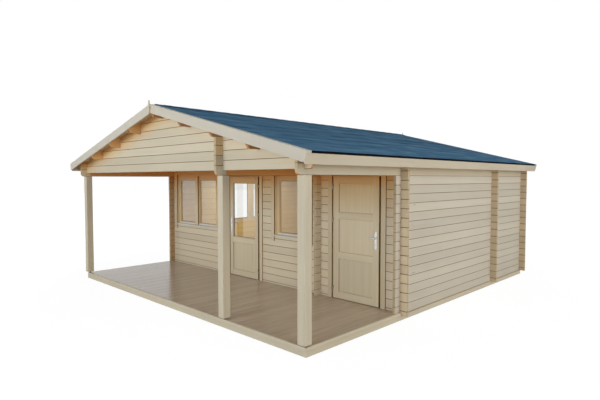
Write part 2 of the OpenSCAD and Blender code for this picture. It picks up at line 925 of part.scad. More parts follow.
// Spindle through the leaf with a neck and a bar on each face
module lever(x, side) {
    bar_d = lever_d - lever_step;
    plate_front = leaf_front - plate_t;
    plate_rear = leaf_front + leaf_t + plate_t;
    neck_l = lever_out + lever_d / 2;
    translate([x, 0, lever_z + floor_top]) {
        translate([0, plate_rear + lever_out, 0]) rotate([90, 0, 0])
            cylinder(d = spindle_d, h = plate_rear - plate_front + 2 * lever_out);
        for (y = [plate_front - parting / 2, plate_rear + parting / 2 + neck_l])
            translate([0, y, 0]) rotate([90, 0, 0]) cylinder(d = lever_d, h = neck_l);
        for (y = [plate_front - lever_out, plate_rear + lever_out])
            translate([0, y, 0]) rotate([0, side * 90, 0]) cylinder(d = bar_d, h = lever_len);
    }
}

module glazed_door_lever() {
    color(metal_grey) lever(glazed_lever_x, 1);
}

module store_door_lever() {
    color(metal_grey) lever(store_lever_x, -1);
}

base_frame();
floor_joists();
terrace_floor();
room_floor();
right_wall();
right_plate();
left_wall();
left_plate();
rear_wall();
front_wall_left();
front_wall_middle();
front_wall_store();
front_gable();
partition_wall();
middle_beam();
partition_top();
cross_wall();
veranda_gable();
gable_tie();
log_ends();
porch_posts();
post_feet();
purlins();
roof_boards();
roof_felt();
fascias();
barge_boards();
finials();
front_double_window();
front_single_window();
side_window();
window_panes();
window_sills();
glazed_door_frame();
store_door_frame();
frame_hinges();
glazed_door_leaf();
glazed_door_pane();
glazed_door_hinges();
glazed_door_plates();
glazed_door_lever();
store_door_leaf();
store_door_hinges();
store_door_plates();
store_door_lever();
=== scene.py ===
# Log cabin with a covered veranda: boards, shingles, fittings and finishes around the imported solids
import math
import random

import bmesh
import bpy
from mathutils import Matrix, Vector


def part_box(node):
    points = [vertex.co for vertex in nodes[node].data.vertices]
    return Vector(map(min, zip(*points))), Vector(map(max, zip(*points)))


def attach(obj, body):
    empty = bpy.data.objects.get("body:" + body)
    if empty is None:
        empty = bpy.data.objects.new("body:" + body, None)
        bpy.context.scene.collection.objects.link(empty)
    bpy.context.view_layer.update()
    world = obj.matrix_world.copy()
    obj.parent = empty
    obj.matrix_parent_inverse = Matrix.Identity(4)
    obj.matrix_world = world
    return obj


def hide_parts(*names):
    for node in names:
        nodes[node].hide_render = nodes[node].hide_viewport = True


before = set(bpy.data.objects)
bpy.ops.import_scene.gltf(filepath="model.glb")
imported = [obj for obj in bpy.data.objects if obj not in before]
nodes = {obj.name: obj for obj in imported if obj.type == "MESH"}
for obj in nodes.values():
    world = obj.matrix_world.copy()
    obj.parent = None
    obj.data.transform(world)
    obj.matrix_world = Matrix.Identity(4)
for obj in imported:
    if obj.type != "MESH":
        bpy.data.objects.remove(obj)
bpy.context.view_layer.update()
draw = random.Random(12)

# Sizes in metres that the solids share
COURSES = 15
ROOF_PITCH = math.radians(14.29)
FELT_T = 0.008
ROOF_BOARD_T = 0.019
TRIM_T = 0.019
FASCIA_W = 0.151
LINING_T = 0.020
CASING_W = 0.078
CASING_T = 0.018
CASING_DROP = 0.090
FRAME_W = 0.040
FRAME_BACK = 0.012
FRAME_FOOT = 0.018
SASH_W = 0.078
SASH_BACK = 0.016
SASH_FOOT = 0.028
MULLION_W = 0.104
MULLION_OUT = 0.016
MID_STILE = 0.043
LEAF_GAP = 0.008
DOOR_LINING_T = 0.028
DOOR_LINING_BACK = 0.012
DOOR_CASING_W = 0.080
STOP_W = 0.015
THRESHOLD_GAP = 0.001
STILE_W = {"glazed_door": 0.092, "store_door": 0.112}
TOP_RAIL = 0.115
MID_RAIL = 0.103
BOTTOM_RAIL = 0.112
STORE_PANEL_H = 0.460
PANEL_DEPTH = 0.014
LEVER_BORE = 0.0053
GABLE_CLEAR = 0.010

# Places read from the solids
floor_lo, floor_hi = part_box("terrace_floor")
side_lo, side_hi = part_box("right_wall")
partition_lo, partition_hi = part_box("partition_wall")
barge_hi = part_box("barge_boards")[1]
felt_lo, felt_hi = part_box("roof_felt")
gable_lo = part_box("front_gable")[0]
log_h = (side_hi.z - side_lo.z) / COURSES
log_t = side_hi.x - side_lo.x
front_y = floor_hi.y
ridge_z = barge_hi.z
slope_l = barge_hi.x / math.cos(ROOF_PITCH)
under_roof_z = ridge_z - (FELT_T + ROOF_BOARD_T) / math.cos(ROOF_PITCH)
porch_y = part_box("veranda_gable")[1].y + GABLE_CLEAR

# Camera at the photograph's viewing angle
CAMERA_PLACE = (6.786, -7.2055, 2.057)
CAMERA_YAW = 44.383
CAMERA_DIP = 2.622
CAMERA_LENS = 28.183
SENSOR_W = 36.0


def make_camera():
    data = bpy.data.cameras.new("camera")
    data.sensor_fit = "HORIZONTAL"
    data.sensor_width = SENSOR_W
    data.lens = CAMERA_LENS
    camera = bpy.data.objects.new("camera", data)
    camera.location = CAMERA_PLACE
    camera.rotation_euler = (math.radians(90 - CAMERA_DIP), 0, math.radians(CAMERA_YAW))
    bpy.context.scene.collection.objects.link(camera)
    bpy.context.scene.camera = camera


# Shader sums
class Wire:
    """A socket's value, which can be added, multiplied and compared like a number"""

    def __init__(self, finish, socket):
        self.finish = finish
        self.socket = socket

    def sum(self, operation, first, second, clamp=False):
        settings = {"operation": operation, "use_clamp": clamp}
        return self.finish.node("ShaderNodeMath", settings, {0: first, 1: second})

    def __add__(self, other):
        return self.sum("ADD", self, other)

    def __sub__(self, other):
        return self.sum("SUBTRACT", self, other)

    def __rsub__(self, other):
        return self.sum("SUBTRACT", other, self)

    def __mul__(self, other):
        return self.sum("MULTIPLY", self, other)

    def __truediv__(self, other):
        return self.sum("DIVIDE", self, other)

    def __pow__(self, other):
        return self.sum("POWER", self, other)

    def __gt__(self, other):
        return self.sum("GREATER_THAN", self, other)

    def __lt__(self, other):
        return self.sum("LESS_THAN", self, other)

    def __abs__(self):
        return self.sum("ABSOLUTE", self, 0)

    def floor(self):
        return self.sum("FLOOR", self, 0)

    def clamped(self):
        return self.sum("ADD", self, 0, clamp=True)

    def most(self, other):
        return self.sum("MAXIMUM", self, other)

    __radd__ = __add__
    __rmul__ = __mul__


class Finish:
    """A material or the world while its nodes are made"""

    def __init__(self, name, owner=None, **fixed):
        self.owner = owner or bpy.data.materials.new(name)
        self.owner.use_nodes = True
        self.tree = self.owner.node_tree
        self.tree.nodes.clear()
        self.fixed = fixed

    def node(self, kind, settings=None, links=None, out=0):
        """A new node: its settings first, then the values or links of its sockets"""
        made = self.tree.nodes.new(kind)
        for key, value in (settings or {}).items():
            if key == "stops":
                ramp = made.color_ramp
                while len(ramp.elements) < len(value):
                    ramp.elements.new(1.0)
                for element, (place, colour) in zip(ramp.elements, value):
                    element.position = place
                    element.color = (*colour, 1)
            else:
                setattr(made, key, value)
        for key, value in (links or {}).items():
            socket = made.inputs[key]
            if isinstance(value, Wire):
                self.tree.links.new(value.socket, socket)
            elif hasattr(socket.default_value, "__len__") and len(socket.default_value) == 4:
                socket.default_value = (*value, 1)
            else:
                socket.default_value = value
        return Wire(self, made.outputs[out])

    def place(self):
        return self.node("ShaderNodeTexCoord", out="Object")

    def axes(self, vector):
        return [self.node("ShaderNodeSeparateXYZ", links={0: vector}, out=k) for k in range(3)]

    def scaled(self, vector, factors):
        return self.node("ShaderNodeVectorMath", {"operation": "MULTIPLY"}, {0: vector, 1: factors})

    def noise(self, vector, scale, detail=3.0, roughness=0.55):
        return self.node("ShaderNodeTexNoise", links={
            "Vector": vector, "Scale": scale, "Detail": detail, "Roughness": roughness})

    def chance(self, value):
        return self.node("ShaderNodeTexWhiteNoise", {"noise_dimensions": "1D"}, {"W": value})

    def mix(self, factor, first, second, blend="MIX"):
        settings = {"data_type": "RGBA", "blend_type": blend, "clamp_factor": True}
        return self.node("ShaderNodeMix", settings, {0: factor, 6: first, 7: second}, out=2)

    def shaded(self, colour, level):
        """A colour made darker or lighter by a number"""
        return self.node("ShaderNodeVectorMath", {"operation": "SCALE"}, {0: colour, 3: level})

    def facing(self):
        """How far a face looks along x, y and z"""
        return self.axes(self.node("ShaderNodeTexCoord", out="Normal"))

    def ramp(self, value, stops):
        return self.node("ShaderNodeValToRGB", {"stops": stops}, {0: value})

    def bump(self, height, distance, strength=1.0):
        return self.node("ShaderNodeBump", links={
            "Height": height, "Distance": distance, "Strength": strength})

    def attribute(self, name):
        return self.node("ShaderNodeAttribute", {"attribute_name": name}, out="Fac")

    def surface(self, **links):
        """Ends the material in one principled surface"""
        sockets = {key.replace("_", " "): value for key, value in {**self.fixed, **links}.items()}
        return self.close(self.node("ShaderNodeBsdfPrincipled", links=sockets))

    def close(self, shader, output="ShaderNodeOutputMaterial"):
        """Links a shader to a new output, and gives back the material or world"""
        end = self.tree.nodes.new(output)
        self.tree.links.new(shader.socket, end.inputs["Surface"])
        return self.owner


# Woods, each with its pale and its streak colour
SPRUCE = (0.640, 0.542, 0.400), (0.558, 0.440, 0.295)
# Painted light: a brighter copy of the spruce that lifts the front logs in the porch's shade
PORCH_LIT_SPRUCE = (0.672, 0.562, 0.408), (0.586, 0.456, 0.300)
# Painted shade: a warmer copy of the spruce for the log ends, standing in for warm bounced light in their
# shade
END_SHADE_SPRUCE = (0.670, 0.530, 0.358), (0.585, 0.430, 0.262)
# Painted light: a brighter, warmer copy of the spruce that lifts the tie logs in the shade under the roof
TIE_LIT_SPRUCE = (0.760, 0.575, 0.345), (0.670, 0.470, 0.255)
BLEACHED_SPRUCE = (0.605, 0.528, 0.425), (0.525, 0.432, 0.318)
EAVE_SPRUCE = (0.565, 0.478, 0.358), (0.490, 0.385, 0.262)
BARGE_SPRUCE = (0.655, 0.575, 0.468), (0.575, 0.478, 0.358)
# Painted shade: roof boards made more orange than the other spruce, for the warm shade under the roof
CEILING_SHADE_SPRUCE = (0.64, 0.47, 0.28), (0.53, 0.35, 0.17)
FLOOR_SPRUCE = (0.60, 0.49, 0.34), (0.50, 0.37, 0.22)
FRONT_PINE = (0.620, 0.510, 0.355), (0.520, 0.400, 0.245)
SIDE_PINE = (0.560, 0.475, 0.345), (0.470, 0.375, 0.245)
LEAF_PINE = (0.650, 0.545, 0.382), (0.530, 0.408, 0.248)
DECK_BROWN = (0.560, 0.402, 0.258), (0.365, 0.245, 0.142)
CUT_END = (0.570, 0.440, 0.285), (0.450, 0.325, 0.190)
KNOT_BROWN = (0.270, 0.155, 0.075)

# Grain: how often its bands, lines and knots come in a metre, across the wood and along it
BANDS = (16.0, 0.55)
LINES = (150.0, 2.2)
KNOTS = (5.2, 0.95)
PATCHES = 1.1
RINGS = 38.0
BAND_START = 0.42
BAND_GAIN = 2.1
LINE_GAIN = 0.75
KNOT_REACH = 0.065
KNOT_GAIN = 16
KNOT_SHARE = 0.6
GRAIN_DEPTH = 0.55
TONE_RANGE = 0.12
GRAIN_GLOSS = 0.1
GRAIN_STRENGTH = 0.5
WOOD_SPECULAR = 0.25
LOG_ROUGHNESS, LOG_RELIEF = 0.62, 0.0008
BOARD_ROUGHNESS, BOARD_RELIEF = 0.6, 0.0006
JOINERY_ROUGHNESS, JOINERY_RELIEF = 0.5, 0.0005

# Seams between two logs: half widths in metres, and how dark they are
LOG_SEAM = 0.0046
SIDE_SEAM = 0.0040
END_SEAM = 0.0070
SEAM_FADE = 0.6
SEAM_BROWN = (0.115, 0.066, 0.030)
SEAM_SHADE = 0.92
ROOM_SEAM = 0.35
WALL_STEP = 17.0

# Painted shade and light: warm tints that stand in for the shade and bounced light under the roof, in the
# porch, in the room, under things and on edges, with the heights and shares of each
# Painted shade: warm tint for the shade and bounced light under the roof and at the top of the porch
WARM_SHADE_TINT = (1.10, 0.85, 0.46)
WARM_SHADE_REACH = 0.34
# Painted light: the share of the painted shade under the roof that stays on the lit right side, and how fast
# it falls off from the ridge
LIT_SIDE_SHARE = 0.25
LIT_SIDE_RISE = 2
PORCH_SHADE_SHARE = 0.75
PORCH_LOW, PORCH_HIGH = 1.45, 2.05
PORCH_SLACK = 0.005
ROOF_SLACK = 0.01
# Painted shade: dark warm tint under things, at the top of the porch and close under the roof
DEEP_SHADE_TINT = (1.00, 0.60, 0.31)
DEEP_LOW, DEEP_HIGH = 1.90, 2.16
ROOF_DEEP_SHADE = 0.6
DOWN_GAIN, DOWN_START = 2, 0.6
# Painted shade on purlin sides that look to the eaves
PURLIN_SHADE_TINT = (0.80, 0.48, 0.22)
# Painted light on purlin sides that look to the ridge
RIDGE_LIGHT_TINT = (1.30, 0.88, 0.50)
RIDGE_SLACK = 0.1
# Partly the fresher colour of wood indoors, partly painted warm shade that grows towards the floor
ROOM_FRESH_AND_SHADE_TINT = (1.05, 0.91, 0.46)
ROOM_SHARE, ROOM_FADE = 1.25, 0.35
# Painted shade on inward faces that stand in the porch
PORCH_SIDE_SHADE = (0.86, 0.66, 0.46)
# Painted shade on the edge faces of joinery boards
EDGE_SHADE_BROWN = (0.45, 0.30, 0.18)

# Least length of a normal's part along an axis for a face that looks that way
LOOKS_ALONG = 0.5
LOOKS_STRAIGHT = 0.9


def tinted(finish, share, colour, tint):
    """A colour multiplied by a tint, as far as the share goes"""
    return finish.mix(share, colour, finish.mix(1.0, colour, tint, "MULTIPLY"))


def risen(value, low, high):
    """0 below the low value, 1 above the high one and a straight line between them"""
    return ((value - low) / (high - low)).clamped()


def underside(finish):
    """1 on a face that looks down, 0 on an upright one"""
    return (finish.facing()[2] * -DOWN_GAIN - DOWN_START).clamped()


def painted_shade_shares(finish, place):
    """Shares of warm painted shade below the roof and in the porch, and of deep painted shade at the top of
    both
    """
    x, y, z = finish.axes(place)
    roof_gap = under_roof_z - abs(x) * math.tan(ROOF_PITCH) - z
    below_roof = (1 - roof_gap / WARM_SHADE_REACH).clamped() * (roof_gap > -ROOF_SLACK)
    # Painted light: the painted shade under the roof fades to a small share towards the right side
    below_roof = below_roof * (1 - (x * LIT_SIDE_RISE).clamped() * (1 - LIT_SIDE_SHARE))
    in_porch = (y > porch_y) * (front_y + log_t / 2 > y) * (side_lo.x + PORCH_SLACK > abs(x))
    warm_shade = below_roof.most(in_porch * risen(z, PORCH_LOW, PORCH_HIGH) * PORCH_SHADE_SHARE)
    # Painted shade on undersides and at the top of the porch
    deep_shade = underside(finish).most(in_porch * risen(z, DEEP_LOW, DEEP_HIGH))
    return warm_shade, deep_shade.most(below_roof ** 2 * ROOF_DEEP_SHADE)


def drawn_out(finish, place, along, pattern):
    """Places for a pattern that is longer along the grain than across it"""
    across, lengthwise = pattern
    return finish.scaled(place, [lengthwise if axis in along else across for axis in range(3)])


def grain_colour(finish, place, along, wood, tone, depth=GRAIN_DEPTH):
    """Colour of sawn wood whose grain runs along the given axes, and the height of its fine lines"""
    bands = finish.noise(drawn_out(finish, place, along, BANDS), 1.0, 4.0, 0.6)
    lines = finish.noise(drawn_out(finish, place, along, LINES), 1.0, 2.0, 0.5)
    patches = finish.noise(place, PATCHES, 2.0, 0.5)
    share = ((bands - BAND_START) * BAND_GAIN + (lines - 0.5) * LINE_GAIN).clamped() * depth
    colour = finish.mix(share, *wood)
    spots = finish.node("ShaderNodeTexVoronoi", {"feature": "F1"}, {
        "Vector": drawn_out(finish, place, along, KNOTS), "Scale": 1.0, "Randomness": 1.0}, out="Distance")
    colour = finish.mix(((KNOT_REACH - spots) * KNOT_GAIN).clamped() * KNOT_SHARE, colour, KNOT_BROWN)
    return finish.shaded(colour, 1 + (patches - 0.5) * TONE_RANGE + (tone - 0.5) * TONE_RANGE), lines


def wood_surface(finish, colour, lines, roughness, relief):
    """Ends a wood's finish, whose fine lines stand up and shine less"""
    return finish.surface(Base_Color=colour, Roughness=roughness + (lines - 0.5) * GRAIN_GLOSS,
                          Normal=finish.bump(lines, relief, GRAIN_STRENGTH))


def end_colour(finish, colour, along, place):
    """Rings on the faces that are cut across the grain"""
    rings = finish.noise(finish.scaled(place, [RINGS] * 3), 1.0, 3.0, 0.6)
    cut = finish.mix((rings * 1.6 - 0.4).clamped(), *CUT_END)
    return finish.mix(abs(finish.facing()[along]) > LOOKS_STRAIGHT, colour, cut)


def seam_share(place, pitch, first=0.0):
    """Number of the board or log at a place along an axis, and how far it lies from the next joint"""
    count = (place - first) / pitch
    whole = count.floor()
    return whole, (0.5 - abs(count - whole - 0.5)) * pitch


def log_finish(name, along, wood=SPRUCE, seam_half=LOG_SEAM, inner=None):
    """Stacked logs along x or y, with the dark seam between two courses

    Logs along x lie half a course lower. The axis and the sign of inner tell which face looks inwards.
    """
    finish = Finish(name, Specular_IOR_Level=WOOD_SPECULAR)
    place = finish.place()
    axes = finish.axes(place)
    course, seam = seam_share(axes[2], log_h, side_lo.z if along == 1 else side_lo.z - log_h / 2)
    tone = finish.chance(course + axes[1 - along].floor() * WALL_STEP)
    colour, lines = grain_colour(finish, place, (along,), wood, tone)
    colour = end_colour(finish, colour, along, place)
    shade = ((seam_half - seam) / (seam_half * SEAM_FADE)).clamped() * SEAM_SHADE
    if inner:
        axis, sign = inner
        turned_in = finish.facing()[axis] * sign > LOOKS_ALONG
        in_room = turned_in * (axes[1] > front_y)
        # Partly fresher indoor wood, partly painted warm shade that grows towards the floor
        colour = tinted(finish, in_room * (ROOM_SHARE - axes[2] * ROOM_FADE), colour, ROOM_FRESH_AND_SHADE_TINT)
        # Painted shade on inward faces in front of the front wall
        colour = tinted(finish, turned_in * (front_y > axes[1]), colour, PORCH_SIDE_SHADE)
        shade = shade * (1 - in_room * (1 - ROOM_SEAM))
    # Painted shade: warm tints below the roof, at the top of the porch and on undersides
    warm_shade, deep_shade = painted_shade_shares(finish, place)
    colour = tinted(finish, deep_shade, tinted(finish, warm_shade, colour, WARM_SHADE_TINT), DEEP_SHADE_TINT)
    return wood_surface(finish, finish.mix(shade, colour, SEAM_BROWN), lines, LOG_ROUGHNESS, LOG_RELIEF)


def board_finish(name, along, wood=SPRUCE, depth=GRAIN_DEPTH, purlin_shade=0.0):
    """Planed boards, each with a tone of its own

    A purlin's sides that look to the ridge carry a bright painted light, and the others a share of the dark
    painted shade.
    """
    finish = Finish(name, Specular_IOR_Level=WOOD_SPECULAR)
    place = finish.place()
    colour, lines = grain_colour(finish, place, along, wood, finish.attribute("tone"), depth)
    # Painted shade on faces that look down
    colour = tinted(finish, underside(finish), colour, DEEP_SHADE_TINT)
    # Painted light on purlin sides towards the ridge, painted shade on their other sides
    if purlin_shade:
        facing = finish.facing()
        eaveward = facing[0] * finish.axes(place)[0]
        not_end = LOOKS_STRAIGHT > abs(facing[along[0]])
        colour = tinted(finish, eaveward < -RIDGE_SLACK, colour, RIDGE_LIGHT_TINT)
        colour = tinted(finish, not_end * (eaveward > -RIDGE_SLACK) * purlin_shade, colour, PURLIN_SHADE_TINT)
    return wood_surface(finish, colour, lines, BOARD_ROUGHNESS, BOARD_RELIEF)


def slope_finish(name, wood):
    """Boards whose grain follows the slope of the roof on both sides of the ridge"""
    finish = Finish(name, Specular_IOR_Level=WOOD_SPECULAR)
    x, y, z = finish.axes(finish.place())
    place = finish.node("ShaderNodeCombineXYZ", links={0: x, 1: y, 2: z + abs(x) * math.tan(ROOF_PITCH)})
    colour, lines = grain_colour(finish, place, (0,), wood, finish.attribute("tone"))
    return wood_surface(finish, colour, lines, BOARD_ROUGHNESS, BOARD_RELIEF)


def joinery_finish(name, wood, depth=GRAIN_DEPTH, edge_shade=0.0, recess_shade=0.0):
    """Sanded pine with upright grain in stiles and level grain in rails

    The boards' edges carry a painted shade and what lies behind the wall's face a warm painted shade, each by
    its share argument.
    """
    finish = Finish(name, Specular_IOR_Level=0.35)
    place = finish.place()
    tone, lay = finish.attribute("tone"), finish.attribute("lay")
    upright, stile_lines = grain_colour(finish, place, (2,), wood, tone, depth)
    level, rail_lines = grain_colour(finish, place, (0, 1), wood, tone, depth)
    lines = stile_lines + (rail_lines - stile_lines) * lay
    # Painted shade: warm tints below the roof, at the top of the porch and on undersides
    warm_shade, deep_shade = painted_shade_shares(finish, place)
    # Warm painted shade on what stands back behind the wall's face
    if recess_shade:
        warm_shade = warm_shade.most((finish.axes(place)[1] > front_y + FRAME_BACK / 2) * recess_shade)
    colour = tinted(finish, warm_shade, finish.mix(lay, upright, level), WARM_SHADE_TINT)
    colour = tinted(finish, deep_shade, colour, DEEP_SHADE_TINT)
    # Painted shade on the edge faces, those that don't look out of the wall
    if edge_shade:
        colour = tinted(finish, (LOOKS_ALONG > abs(finish.facing()[1])) * edge_shade, colour, EDGE_SHADE_BROWN)
    return wood_surface(finish, colour, lines, JOINERY_ROUGHNESS, JOINERY_RELIEF)


FLOOR_BOARD_W = 0.121
FLOOR_GROOVE, FLOOR_GROOVE_FADE = 0.0015, 0.0012


def floor_finish():
    """Tongue and groove boards along the house"""
    finish = Finish("room floor boards", Specular_IOR_Level=0.3)
    place = finish.place()
    board, seam = seam_share(finish.axes(place)[0], FLOOR_BOARD_W)
    colour, lines = grain_colour(finish, place, (1,), FLOOR_SPRUCE, finish.chance(board))
    groove = ((FLOOR_GROOVE - seam) / FLOOR_GROOVE_FADE).clamped()
    return finish.surface(Base_Color=finish.mix(groove * 0.8, colour, SEAM_BROWN), Roughness=0.5,
                          Normal=finish.bump(lines - groove * 3, 0.0006, 0.6))


def deck_finish():
    """Brown stain with a satin gloss whose blue specular and sheen tints paint a sky's reflection, bluish at
    a slant
    """
    finish = Finish("deck stain", Specular_IOR_Level=0.62, Specular_Tint=(0.30, 0.72, 1.0),
                    Sheen_Weight=0.06, Sheen_Tint=(0.40, 0.78, 1.0), Sheen_Roughness=0.45)
    place = finish.place()
    colour, lines = grain_colour(finish, place, (1,), DECK_BROWN, finish.attribute("tone"), 0.75)
    return finish.surface(Base_Color=colour, Roughness=0.20 + (lines - 0.5) * 0.06,
                          Normal=finish.bump(lines, 0.0003, 0.2))


SHINGLE_DARK = (0.016, 0.062, 0.122)
SHINGLE_BLUE = (0.060, 0.168, 0.288)
SHINGLE_LIGHT = (0.145, 0.310, 0.460)
SHINGLE_STREAKS = (14, 1.3, 14)
GRANULES = 420.0


def shingle_finish():
    """Mineral granules in blue, each tab in a tone of its own"""
    finish = Finish("blue mineral shingle", Specular_IOR_Level=0.15)
    place = finish.place()
    tone = finish.attribute("tone")
    streaks = finish.noise(finish.scaled(place, SHINGLE_STREAKS), 1.0, 4.0, 0.6)
    granules = finish.noise(place, GRANULES, 2.0, 0.6)
    colour = finish.ramp(tone * 0.45 + streaks * 0.55 + (granules - 0.5) * 0.35, [
        (0.25, SHINGLE_DARK), (0.5, SHINGLE_BLUE), (0.8, SHINGLE_LIGHT)])
    return finish.surface(Base_Color=colour, Roughness=0.85, Normal=finish.bump(granules, 0.0012, 0.7))


SPECK_SHARE = 0.06
SPECK_GLOSS = 0.08


def plain_finish(name, colour, roughness, metallic=0.0, **fixed):
    """An even finish with a faint unevenness"""
    finish = Finish(name, Metallic=metallic, **fixed)
    unevenness = finish.noise(finish.place(), 60.0, 2.0, 0.5)
    half = tuple(0.5 * c for c in colour)
    speckled = finish.mix((unevenness - 0.3).clamped() * SPECK_SHARE, colour, half)
    return finish.surface(Base_Color=speckled, Roughness=roughness + (unevenness - 0.5) * SPECK_GLOSS)


GLASS_CLEAR = (0.985, 0.99, 0.985)
GLASS_MIRROR = (0.9, 0.9, 0.9)
MIRROR_LEAST, MIRROR_RISE = 0.05, 0.8


def glass_finish():
    """Clear panes: they let the light straight through and mirror at a slant"""
    finish = Finish("window glass")
    slant = finish.node("ShaderNodeLayerWeight", links={"Blend": 0.5}, out="Facing")
    clear = finish.node("ShaderNodeBsdfTransparent", links={"Color": GLASS_CLEAR})
    mirror = finish.node("ShaderNodeBsdfPrincipled", links={
        "Base Color": GLASS_MIRROR, "Metallic": 1.0, "Roughness": 0.02})
    return finish.close(finish.node("ShaderNodeMixShader", links={
        0: slant ** 3 * MIRROR_RISE + MIRROR_LEAST, 1: clear, 2: mirror}))


make_camera()
logs_along_y = log_finish("spruce logs along the house", 1)
right_logs = log_finish("bleached logs right", 1, BLEACHED_SPRUCE, SIDE_SEAM, inner=(0, -1))
left_logs = log_finish("bleached logs left", 1, BLEACHED_SPRUCE, SIDE_SEAM, inner=(0, 1))
tie_logs = log_finish("tie logs", 1, TIE_LIT_SPRUCE)
logs_along_x = log_finish("spruce logs across the house", 0)
end_logs = log_finish("log ends", 0, END_SHADE_SPRUCE, END_SEAM)
rear_logs = log_finish("spruce logs rear", 0, inner=(1, -1))
front_logs = log_finish("spruce logs front", 0, PORCH_LIT_SPRUCE, inner=(1, 1))
upright_wood = board_finish("spruce posts", (2,), depth=0.8)
beam_wood = board_finish("spruce beams", (1,))
eave_wood = board_finish("spruce eave boards", (1,), EAVE_SPRUCE)
purlin_wood = board_finish("spruce purlins", (1,), purlin_shade=0.85)
cross_wood = board_finish("spruce beams across", (0,))
slope_wood = slope_finish("spruce barge boards", BARGE_SPRUCE)
ceiling_wood = slope_finish("roof boards", CEILING_SHADE_SPRUCE)
floor_wood = floor_finish()
joinery_wood = joinery_finish("front joinery", FRONT_PINE, edge_shade=0.75, recess_shade=0.5)
side_joinery = joinery_finish("side joinery", SIDE_PINE)
leaf_wood = joinery_finish("door leaves", LEAF_PINE, depth=0.65, edge_shade=0.95)
deck_stain = deck_finish()
shingle = shingle_finish()
felt_black = plain_finish("felt edge", (0.004, 0.004, 0.005), roughness=0.8, Specular_IOR_Level=0.03)
steel = plain_finish("satin steel", (0.84, 0.85, 0.84), roughness=0.24, metallic=0.4)
hinge_steel = plain_finish("dull hinge steel", (0.42, 0.38, 0.31), roughness=0.55, metallic=0.7)
zinc = plain_finish("galvanised steel", (0.30, 0.31, 0.32), roughness=0.45, metallic=1.0)
sill_metal = plain_finish("light grey metal", (0.66, 0.63, 0.58), roughness=0.45)
rubber = plain_finish("glazing rubber", (0.02, 0.02, 0.022), roughness=0.6)
key_dark = plain_finish("keyhole", (0.015, 0.015, 0.015), roughness=0.6)
glass = glass_finish()


# Finishes of the solids that stay
NODE_FINISHES = [
    (right_logs, "right_wall"),
    (left_logs, "left_wall"),
    (rear_logs, "rear_wall"),
    (front_logs, "front_wall_left front_wall_middle front_wall_store"),
    (logs_along_y, "right_plate left_plate partition_wall middle_beam partition_top"),
    (tie_logs, "gable_tie"),
    (logs_along_x, "front_gable cross_wall veranda_gable"),
    (end_logs, "log_ends"),
    (beam_wood, "base_frame"),
    (purlin_wood, "purlins"),
    (cross_wood, "floor_joists"),
    (upright_wood, "finials"),
    (slope_wood, "barge_boards"),
    (floor_wood, "room_floor"),
    (felt_black, "roof_felt"),
    (steel, "glazed_door_plates glazed_door_lever store_door_plates store_door_lever"),
    (hinge_steel, "frame_hinges glazed_door_hinges store_door_hinges"),
    (zinc, "post_feet"),
    (sill_metal, "window_sills"),
    (glass, "window_panes glazed_door_pane"),
]
for finish, names in NODE_FINISHES:
    for name in names.split():
        nodes[name].data.materials.clear()
        nodes[name].data.materials.append(finish)


# Shapes
def new_piece(name, shape, finish, body="cabin", replaces=()):
    """An object from a finished bmesh, riding on a body of the cabin"""
    mesh = bpy.data.meshes.new(name)
    shape.to_mesh(mesh)
    shape.free()
    mesh.materials.append(finish)
    made = bpy.data.objects.new(name, mesh)
    bpy.context.scene.collection.objects.link(made)
    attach(made, body)
    if replaces:
        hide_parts(*replaces)


def new_boards():
    """An empty shape whose faces carry the tone of their board and the lay of its grain"""
    shape = bmesh.new()
    for name in ("tone", "lay"):
        shape.faces.layers.float.new(name)
    return shape


def mark(shape, faces, tone, lay):
    """Gives faces the tone of their board, and 1 for a grain that lies level"""
    layers = shape.faces.layers.float
    for face in faces:
        face[layers["tone"]] = tone
        face[layers["lay"]] = lay


def add_block(shape, low, high, place=Matrix(), tilt=0.0, tone=None, lay=0.0):
    """A box between two corners of a frame, tilted about the frame's second axis"""
    low, high = Vector(low), Vector(high)
    spread = Matrix.Translation((low + high) / 2) @ Matrix.Rotation(tilt, 4, "Y")
    spread = spread @ Matrix.Diagonal((*(high - low), 1))
    made = bmesh.ops.create_cube(shape, size=1.0, matrix=place @ spread)
    tone = draw.random() if tone is None else tone
    mark(shape, {f for v in made["verts"] for f in v.link_faces}, tone, lay)


def round_edges(shape, width, segments=2):
    """Planed corners on every edge of a shape"""
    bmesh.ops.bevel(shape, geom=shape.edges[:], offset=width, offset_type="OFFSET", affect="EDGES",
                    segments=segments, profile=0.5, material=-1)


def add_ring(shape, low, high, outward, profile):
    """A mitred strip inside an upright rectangle; the profile gives steps inwards and outwards"""
    outward = Vector(outward)
    along = Vector((abs(outward.y), abs(outward.x), 0))
    corners = []
    for end, top in ((0, 0), (1, 0), (1, 1), (0, 1)):
        base = Vector(low)
        base += along * end * (Vector(high) - Vector(low)).dot(along)
        base.z = (low[2], high[2])[top]
        inward = along * (1 - 2 * end) + Vector((0, 0, 1 - 2 * top))
        corners.append([shape.verts.new(base + inward * step + outward * out) for step, out in profile])
    loops = []
    for corner in corners:
        loops.append([shape.edges.new((corner[k - 1], corner[k])) for k in range(len(corner))])
    for k in range(4):
        bmesh.ops.bridge_loops(shape, edges=loops[k - 1] + loops[k])
    bmesh.ops.recalc_face_normals(shape, faces=shape.faces[:])


def solid_boxes(node):
    """Lowest and highest corners of each solid in a node"""
    shape = bmesh.new()
    shape.from_mesh(nodes[node].data)
    bmesh.ops.remove_doubles(shape, verts=shape.verts[:], dist=1e-5)
    left = set(shape.verts)
    boxes = []
    while left:
        island, edge = set(), {left.pop()}
        while edge:
            vert = edge.pop()
            island.add(vert)
            edge |= {e.other_vert(vert) for e in vert.link_edges} - island
        left -= island
        spots = [v.co for v in island]
        boxes.append((Vector(map(min, zip(*spots))), Vector(map(max, zip(*spots)))))
    shape.free()
    return sorted(boxes, key=lambda pair: tuple(pair[0]))


